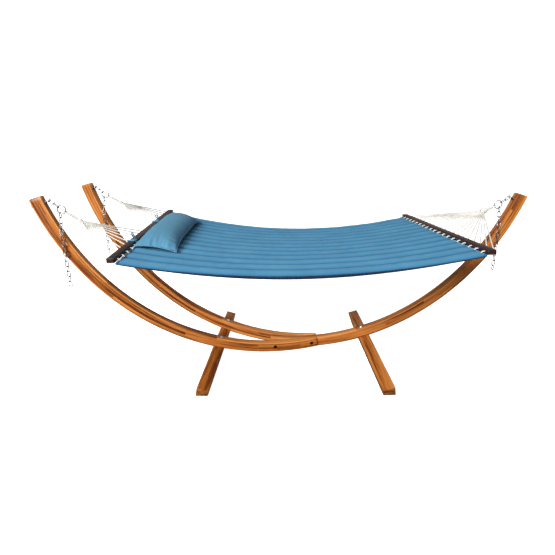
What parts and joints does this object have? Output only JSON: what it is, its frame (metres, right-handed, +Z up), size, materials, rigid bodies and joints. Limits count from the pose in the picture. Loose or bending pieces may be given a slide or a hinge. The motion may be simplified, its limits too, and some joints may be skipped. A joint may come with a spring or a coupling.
{
  "type": "hammock on stand",
  "caption": "Quilted two-person hammock with wooden spreader bars and a tied pillow, hung by ropes, rings and chains from a laminated wooden arc stand.",
  "frame": {"origin": "Centre of the bounding box's base, on the ground under the middle of the stand.", "axes": "+X runs along the hammock from the twin arms to the single arm, +Y across it towards the far side, +Z up."},
  "size_m": [3.0181, 1.4006, 1.1715],
  "materials": {
    "stained_timber": "laminated softwood with a satin orange-brown outdoor stain",
    "dark_timber": "dark brown stained hardwood, satin",
    "galvanised_steel": "zinc plated, slightly dull",
    "rope": "twisted off-white polyester cord",
    "quilted_fabric": "matt mid-blue woven polyester, sewn in lengthwise channels",
    "pillow_fabric": "matt mid-blue woven polyester with dark piping"
  },
  "bodies": {
    "base": {"left_foot": "stained_timber", "right_foot": "stained_timber", "joint_bolt_1": "galvanised_steel", "joint_bolt_2": "galvanised_steel", "joint_nut_1": "galvanised_steel", "joint_nut_2": "galvanised_steel", "near_left_arm": "stained_timber", "near_left_foot_screw": "galvanised_steel", "near_left_foot_washer": "galvanised_steel", "near_left_eye_bolt": "galvanised_steel", "near_left_eye_washer": "galvanised_steel", "near_left_eye_nut": "galvanised_steel", "near_left_anchor_chain": "galvanised_steel", "near_left_ring": "galvanised_steel", "far_left_arm": "stained_timber", "far_left_foot_screw": "galvanised_steel", "far_left_foot_washer": "galvanised_steel", "far_left_eye_bolt": "galvanised_steel", "far_left_eye_washer": "galvanised_steel", "far_left_eye_nut": "galvanised_steel", "far_left_anchor_chain": "galvanised_steel", "far_left_ring": "galvanised_steel", "right_arm": "stained_timber", "right_foot_screw": "galvanised_steel", "right_foot_washer": "galvanised_steel", "right_eye_bolt": "galvanised_steel", "right_eye_washer": "galvanised_steel", "right_eye_nut": "galvanised_steel", "right_anchor_chain": "galvanised_steel", "right_ring": "galvanised_steel"},
    "hammock": {"left_spreader_bar": "dark_timber", "right_spreader_bar": "dark_timber", "quilted_bed": "quilted_fabric", "near_left_rope_fan": "rope", "far_left_rope_fan": "rope", "right_rope_fan": "rope", "near_pillow_tie": "pillow_fabric", "far_pillow_tie": "pillow_fabric"},
    "pillow": {"pillow": "pillow_fabric"},
    "near_left_chain": {"near_left_surplus_chain": "galvanised_steel"},
    "far_left_chain": {"far_left_surplus_chain": "galvanised_steel"},
    "right_chain": {"right_surplus_chain": "galvanised_steel"}
  },
  "joints": [
    {"name": "hammock_swing", "type": "hinge", "parent": "base", "child": "hammock", "pos_m": [1.338, -0.0066, 1.0339], "axis": [0.9998, 0, -0.019], "range_deg": [-6, 6], "deforming": ["near_left_rope_fan", "far_left_rope_fan"]},
    {"name": "pillow_flip", "type": "hinge", "parent": "hammock", "child": "pillow", "pos_m": [-0.926, 0.0018, 0.9105], "axis": [0.0515, -0.9986, 0.0087], "range_deg": [0, 35]},
    {"name": "near_left_chain_swing", "type": "hinge", "parent": "base", "child": "near_left_chain", "pos_m": [-1.3587, -0.3075, 1.0728], "axis": [0, 1, 0], "range_deg": [-15, 7.5]},
    {"name": "far_left_chain_swing", "type": "hinge", "parent": "base", "child": "far_left_chain", "pos_m": [-1.3587, 0.2922, 1.0728], "axis": [0, 1, 0], "range_deg": [-5, 15]},
    {"name": "right_chain_swing", "type": "hinge", "parent": "base", "child": "right_chain", "pos_m": [1.3556, -0.0066, 1.0162], "axis": [0, 1, 0], "range_deg": [-10, 15]}
  ]
}
